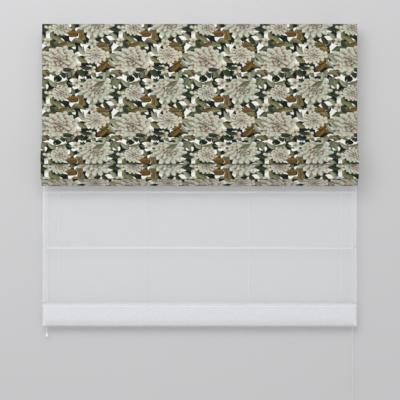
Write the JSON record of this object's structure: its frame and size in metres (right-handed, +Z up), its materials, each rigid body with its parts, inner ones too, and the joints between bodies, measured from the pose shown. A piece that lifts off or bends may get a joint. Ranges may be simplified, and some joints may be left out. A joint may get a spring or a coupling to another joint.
{
  "type": "double roman blind",
  "caption": "Double roman blind: a floral printed front blind drawn half way up in soft folds over a sheer rear blind, on one headrail with cord locks.",
  "frame": {"origin": "centre of the wall screw pattern of the brackets, on the wall face", "axes": "+X along the blind to the right, +Y into the wall, +Z up; the printed side faces -Y"},
  "size_m": [1.308, 0.1232, 1.712],
  "materials": {
    "printed_cloth": "matt woven print",
    "sheer_voile": "sheer weave",
    "white_aluminium": "satin",
    "white_plastic": "satin",
    "clear_ring": "milky",
    "grey_plastic": "matt",
    "bracket_steel": "satin",
    "bright_steel": "zinc plated",
    "bar_aluminium": "mill finish",
    "glass_fibre_rod": "satin",
    "white_tape": "matt",
    "white_cord": "braided"
  },
  "bodies": {
    "headrail": {"headrail": "white_aluminium", "end_cap_left": "white_plastic", "end_cap_right": "white_plastic", "bracket_left": "bracket_steel", "bracket_middle": "bracket_steel", "bracket_right": "bracket_steel", "bracket_screws": "bright_steel", "front_hook_tape": "white_tape", "front_loop_tape": "white_tape", "sheer_hook_tape": "white_tape", "sheer_loop_tape": "white_tape", "front_cord_guides": "white_plastic", "sheer_cord_guides": "white_plastic", "front_roller_pins": "bright_steel", "sheer_roller_pins": "bright_steel", "front_cord_lock": "white_plastic", "sheer_cord_lock": "white_plastic", "front_lift_cords": "white_cord", "sheer_lift_cords": "white_cord", "front_pull_cord": "white_cord", "sheer_pull_cord": "white_cord", "front_cloth": "printed_cloth", "sheer_cloth": "sheer_voile"},
    "sheer_bottom": {"sheer_rod_5": "glass_fibre_rod", "sheer_rings_5": "clear_ring", "sheer_cord_stops": "white_plastic", "sheer_bottom_bar": "bar_aluminium", "sheer_bar_caps": "white_plastic"},
    "front_stack": {"front_rod_2": "glass_fibre_rod", "front_rod_3": "glass_fibre_rod", "front_rod_4": "glass_fibre_rod", "front_stack_rings": "clear_ring", "front_cord_stops": "white_plastic", "front_bottom_bar": "bar_aluminium", "front_bar_caps": "white_plastic"},
    "front_upper_rod": {"front_rod_1": "glass_fibre_rod", "front_rings_1": "clear_ring"},
    "front_bell": {"front_bell": "white_plastic"},
    "sheer_bell": {"sheer_bell": "white_plastic"},
    "front_pawl": {"front_lock_pawl": "grey_plastic"},
    "sheer_pawl": {"sheer_lock_pawl": "grey_plastic"},
    "sheer_rod_row_1": {"sheer_rod_1": "glass_fibre_rod", "sheer_rings_1": "clear_ring"},
    "front_roller_1": {"front_roller_1": "white_plastic"},
    "sheer_roller_1": {"sheer_roller_1": "white_plastic"},
    "sheer_rod_row_2": {"sheer_rod_2": "glass_fibre_rod", "sheer_rings_2": "clear_ring"},
    "front_roller_2": {"front_roller_2": "white_plastic"},
    "sheer_roller_2": {"sheer_roller_2": "white_plastic"},
    "sheer_rod_row_3": {"sheer_rod_3": "glass_fibre_rod", "sheer_rings_3": "clear_ring"},
    "front_roller_3": {"front_roller_3": "white_plastic"},
    "sheer_roller_3": {"sheer_roller_3": "white_plastic"},
    "sheer_rod_row_4": {"sheer_rod_4": "glass_fibre_rod", "sheer_rings_4": "clear_ring"},
    "front_roller_4": {"front_roller_4": "white_plastic"},
    "sheer_roller_4": {"sheer_roller_4": "white_plastic"}
  },
  "joints": [
    {"name": "sheer_lift", "type": "slide", "parent": "headrail", "child": "sheer_bottom", "axis": [0, 0, 1], "range_m": [0, 0.95], "deforming": ["sheer_cloth", "sheer_lift_cords", "sheer_pull_cord"]},
    {"name": "front_lift", "type": "slide", "parent": "headrail", "child": "front_stack", "axis": [0, 0, 1], "range_m": [0, 0.28], "deforming": ["front_cloth", "front_lift_cords", "front_pull_cord"]},
    {"name": "front_upper_rod_lift", "type": "slide", "parent": "headrail", "child": "front_upper_rod", "axis": [0, 0, 1], "range_m": [0, 0.14]},
    {"name": "front_bell_drop", "type": "slide", "parent": "headrail", "child": "front_bell", "axis": [0, 0, 1], "range_m": [-0.28, 0]},
    {"name": "sheer_bell_drop", "type": "slide", "parent": "headrail", "child": "sheer_bell", "axis": [0, 0, 1], "range_m": [-0.95, 0]},
    {"name": "sheer_rod_row_1_lift", "type": "slide", "parent": "headrail", "child": "sheer_rod_row_1", "axis": [0, 0, 1], "range_m": [0, 0.1766]},
    {"name": "sheer_rod_row_2_lift", "type": "slide", "parent": "headrail", "child": "sheer_rod_row_2", "axis": [0, 0, 1], "range_m": [0, 0.37]},
    {"name": "sheer_rod_row_3_lift", "type": "slide", "parent": "headrail", "child": "sheer_rod_row_3", "axis": [0, 0, 1], "range_m": [0, 0.5633]},
    {"name": "sheer_rod_row_4_lift", "type": "slide", "parent": "headrail", "child": "sheer_rod_row_4", "axis": [0, 0, 1], "range_m": [0, 0.7567]},
    {"name": "front_roller_1_turn", "type": "hinge", "parent": "headrail", "child": "front_roller_1", "pos_m": [-0.5842, -0.056, 0.0014], "axis": [0, 1, 0], "continuous": true},
    {"name": "front_roller_2_turn", "type": "hinge", "parent": "headrail", "child": "front_roller_2", "pos_m": [-0.2202, -0.056, 0.0014], "axis": [0, 1, 0], "continuous": true},
    {"name": "front_roller_3_turn", "type": "hinge", "parent": "headrail", "child": "front_roller_3", "pos_m": [0.2098, -0.056, 0.0014], "axis": [0, 1, 0], "continuous": true},
    {"name": "front_roller_4_turn", "type": "hinge", "parent": "headrail", "child": "front_roller_4", "pos_m": [0.5958, -0.056, 0.0014], "axis": [0, 1, 0], "continuous": true},
    {"name": "sheer_roller_1_turn", "type": "hinge", "parent": "headrail", "child": "sheer_roller_1", "pos_m": [-0.5958, -0.021, 0.0014], "axis": [0, 1, 0], "continuous": true},
    {"name": "sheer_roller_2_turn", "type": "hinge", "parent": "headrail", "child": "sheer_roller_2", "pos_m": [-0.2318, -0.021, 0.0014], "axis": [0, 1, 0], "continuous": true},
    {"name": "sheer_roller_3_turn", "type": "hinge", "parent": "headrail", "child": "sheer_roller_3", "pos_m": [0.1982, -0.021, 0.0014], "axis": [0, 1, 0], "continuous": true},
    {"name": "sheer_roller_4_turn", "type": "hinge", "parent": "headrail", "child": "sheer_roller_4", "pos_m": [0.5842, -0.021, 0.0014], "axis": [0, 1, 0], "continuous": true},
    {"name": "front_pawl_slide", "type": "slide", "parent": "headrail", "child": "front_pawl", "axis": [0.8192, 0, 0.5736], "range_m": [0, 0.004]},
    {"name": "sheer_pawl_slide", "type": "slide", "parent": "headrail", "child": "sheer_pawl", "axis": [-0.8192, 0, 0.5736], "range_m": [0, 0.004]}
  ],
  "couplings": [
    {"joint": "front_upper_rod_lift", "follows": "front_lift", "ratio": 0.5},
    {"joint": "front_bell_drop", "follows": "front_lift", "ratio": -1},
    {"joint": "sheer_bell_drop", "follows": "sheer_lift", "ratio": -1},
    {"joint": "sheer_rod_row_1_lift", "follows": "sheer_lift", "ratio": 0.1859},
    {"joint": "sheer_rod_row_2_lift", "follows": "sheer_lift", "ratio": 0.38943},
    {"joint": "sheer_rod_row_3_lift", "follows": "sheer_lift", "ratio": 0.59295},
    {"joint": "sheer_rod_row_4_lift", "follows": "sheer_lift", "ratio": 0.79648},
    {"joint": "front_roller_1_turn", "follows": "front_lift", "rad_per_m": 172.41},
    {"joint": "front_roller_2_turn", "follows": "front_lift", "rad_per_m": 172.41},
    {"joint": "front_roller_3_turn", "follows": "front_lift", "rad_per_m": 172.41},
    {"joint": "front_roller_4_turn", "follows": "front_lift", "rad_per_m": 172.41},
    {"joint": "sheer_roller_1_turn", "follows": "sheer_lift", "rad_per_m": -172.41},
    {"joint": "sheer_roller_2_turn", "follows": "sheer_lift", "rad_per_m": -172.41},
    {"joint": "sheer_roller_3_turn", "follows": "sheer_lift", "rad_per_m": -172.41},
    {"joint": "sheer_roller_4_turn", "follows": "sheer_lift", "rad_per_m": -172.41}
  ]
}
